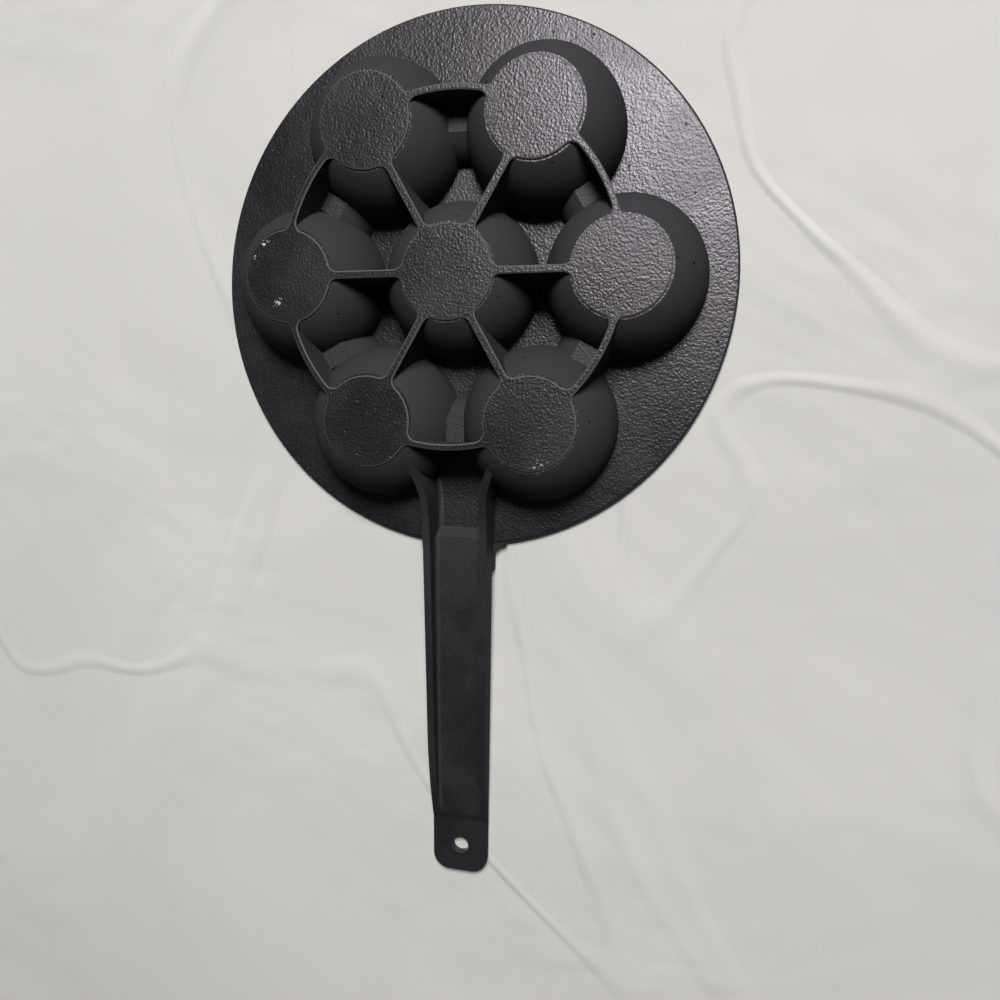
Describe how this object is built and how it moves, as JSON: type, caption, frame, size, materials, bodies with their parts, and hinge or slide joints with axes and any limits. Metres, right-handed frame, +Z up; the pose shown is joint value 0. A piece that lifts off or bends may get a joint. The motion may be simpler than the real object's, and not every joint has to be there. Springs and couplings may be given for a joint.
{
  "type": "aebleskiver pan",
  "caption": "Round cast-iron pan with a ring of round wells for baking ball-shaped pancakes, ribs joining the cups below and a channel-section handle with a hanging hole.",
  "frame": {"origin": "on the axis of the round plate, in the plane that the cup bottoms rest on", "axes": "+Z up through the wells' mouths, the handle runs along -Y"},
  "size_m": [0.235, 0.3955, 0.034],
  "materials": {
    "iron": "seasoned black cast iron, satin, with a fine sand-cast grain"
  },
  "bodies": {
    "root": {"cooking_plate": "iron", "cup_center": "iron", "cup_1": "iron", "cup_2": "iron", "cup_3": "iron", "cup_4": "iron", "cup_5": "iron", "cup_6": "iron", "spoke_rib_1": "iron", "spoke_rib_2": "iron", "spoke_rib_3": "iron", "spoke_rib_4": "iron", "spoke_rib_5": "iron", "spoke_rib_6": "iron", "ring_rib_1": "iron", "ring_rib_2": "iron", "ring_rib_3": "iron", "ring_rib_4": "iron", "ring_rib_5": "iron", "ring_rib_6": "iron", "handle": "iron"}
  },
  "joints": []
}
